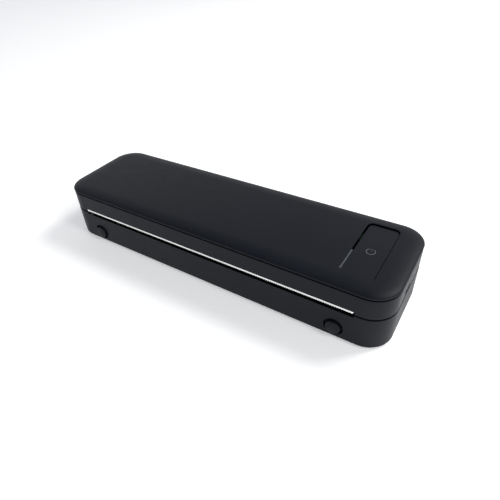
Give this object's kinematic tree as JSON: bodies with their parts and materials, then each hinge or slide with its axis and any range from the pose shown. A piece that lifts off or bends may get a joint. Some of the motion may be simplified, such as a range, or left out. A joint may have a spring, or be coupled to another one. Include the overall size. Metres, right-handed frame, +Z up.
{
  "type": "a4 portable thermal printer",
  "caption": "Long low portable thermal printer with a rear-hinged cover, front paper outlet with tear bar, two release buttons and a sprung power key.",
  "frame": {"origin": "bottom centre of the printer, in the plane of the rubber feet", "axes": "+X along the body towards the power key, -Y out of the paper outlet at the front, +Z up"},
  "size_m": [0.266, 0.0772, 0.0445],
  "materials": {
    "soft_touch_black": "soft matte, fine moulded grain",
    "inner_black": "fine spark-eroded grain",
    "rubber": "matte",
    "roller_rubber": "ground silicone rubber",
    "screw_steel": "zinc plated",
    "zinc_plate": "zinc-plated sheet",
    "bush_plastic": "natural acetal",
    "ground_steel": "ground and polished",
    "spring_steel": "drawn wire",
    "cell_wrap": "shrink sleeve",
    "contact_brass": "nickel-flashed brass",
    "pinion_brass": "machined",
    "chip_black": "moulded epoxy",
    "wire_red": "wire insulation",
    "tear_steel": "bright stainless",
    "board_green": "dark solder mask",
    "socket_steel": "drawn stainless",
    "cable_white": "polyester film and nylon",
    "milky_acrylic": "diffusing light guide",
    "symbol_grey": "printed symbol",
    "sink_aluminium": "extruded, milled",
    "alumina": "alumina substrate",
    "glaze": "glazed heater line"
  },
  "bodies": {
    "base": {"base_shell": "soft_touch_black", "rubber_feet": "rubber", "base_screws": "screw_steel", "paper_guide": "inner_black", "guide_screws": "screw_steel", "side_plate_left": "zinc_plate", "side_plate_right": "zinc_plate", "platen_bushings": "bush_plastic", "gear_stud": "ground_steel", "motor_body": "zinc_plate", "motor_screws": "screw_steel", "battery_cells": "cell_wrap", "battery_holder": "inner_black", "battery_contacts": "contact_brass", "hinge_pins": "ground_steel", "latch_spring_left": "spring_steel", "latch_spring_right": "spring_steel", "paper_sensor": "chip_black", "base_wires": "wire_red"},
    "cover": {"top_panel": "soft_touch_black", "cover_frame": "soft_touch_black", "inner_cover": "inner_black", "cover_screws": "screw_steel", "tear_bar": "tear_steel", "main_pcb": "board_green", "pcb_chips": "chip_black", "pcb_screws": "screw_steel", "usb_c_socket": "socket_steel", "button_board": "board_green", "tact_switch": "chip_black", "board_screws": "screw_steel", "head_springs": "spring_steel", "head_cable": "cable_white", "status_light": "milky_acrylic"},
    "power_key": {"power_button": "soft_touch_black", "power_symbol": "symbol_grey"},
    "print_head": {"head_heatsink": "sink_aluminium", "head_ceramic": "alumina", "heater_line": "glaze", "driver_resin": "chip_black", "head_connector": "cable_white", "head_pivot_pins": "ground_steel"},
    "platen": {"platen_shaft": "ground_steel", "platen_rubber": "roller_rubber", "platen_gear": "bush_plastic", "platen_clips": "spring_steel"},
    "idler": {"reduction_gear": "bush_plastic"},
    "motor_rotor": {"motor_shaft": "ground_steel", "motor_pinion": "pinion_brass"},
    "release_left": {"release_button_left": "soft_touch_black", "latch_slider_left": "bush_plastic"},
    "release_right": {"release_button_right": "soft_touch_black", "latch_slider_right": "bush_plastic"}
  },
  "joints": [
    {"name": "cover_hinge", "type": "hinge", "parent": "base", "child": "cover", "pos_m": [0, 0.033, 0.0255], "axis": [-1, 0, 0], "range_deg": [0, 70]},
    {"name": "power_press", "type": "hinge", "parent": "cover", "child": "power_key", "pos_m": [0.107, -0.02445, 0.0425], "axis": [-1, 0, 0], "range_deg": [0, 0.85], "stiffness_Nm_per_rad": 4, "springref_deg": -0.57},
    {"name": "head_pivot", "type": "hinge", "parent": "cover", "child": "print_head", "pos_m": [0, -0.0145, 0.02835], "axis": [-1, 0, 0], "range_deg": [0, 2], "stiffness_Nm_per_rad": 2, "springref_deg": -11.46, "deforming": ["head_springs"]},
    {"name": "platen_spin", "type": "hinge", "parent": "base", "child": "platen", "pos_m": [0, -0.024, 0.019], "axis": [1, 0, 0], "continuous": true},
    {"name": "idler_spin", "type": "hinge", "parent": "base", "child": "idler", "pos_m": [-0.122, -0.01688, 0.0135], "axis": [1, 0, 0], "continuous": true},
    {"name": "motor_spin", "type": "hinge", "parent": "base", "child": "motor_rotor", "pos_m": [-0.12, -0.00489, 0.013], "axis": [1, 0, 0], "continuous": true},
    {"name": "release_press_left", "type": "slide", "parent": "base", "child": "release_left", "axis": [0, 1, 0], "range_m": [0, 0.002], "stiffness_N_per_m": 900, "springref_m": -0.001, "deforming": ["latch_spring_left"]},
    {"name": "release_press_right", "type": "slide", "parent": "base", "child": "release_right", "axis": [0, 1, 0], "range_m": [0, 0.002], "stiffness_N_per_m": 900, "springref_m": -0.001, "deforming": ["latch_spring_right"]}
  ],
  "couplings": [
    {"joint": "idler_spin", "follows": "platen_spin", "ratio": -1.5714},
    {"joint": "motor_spin", "follows": "platen_spin", "ratio": 4.7143}
  ]
}
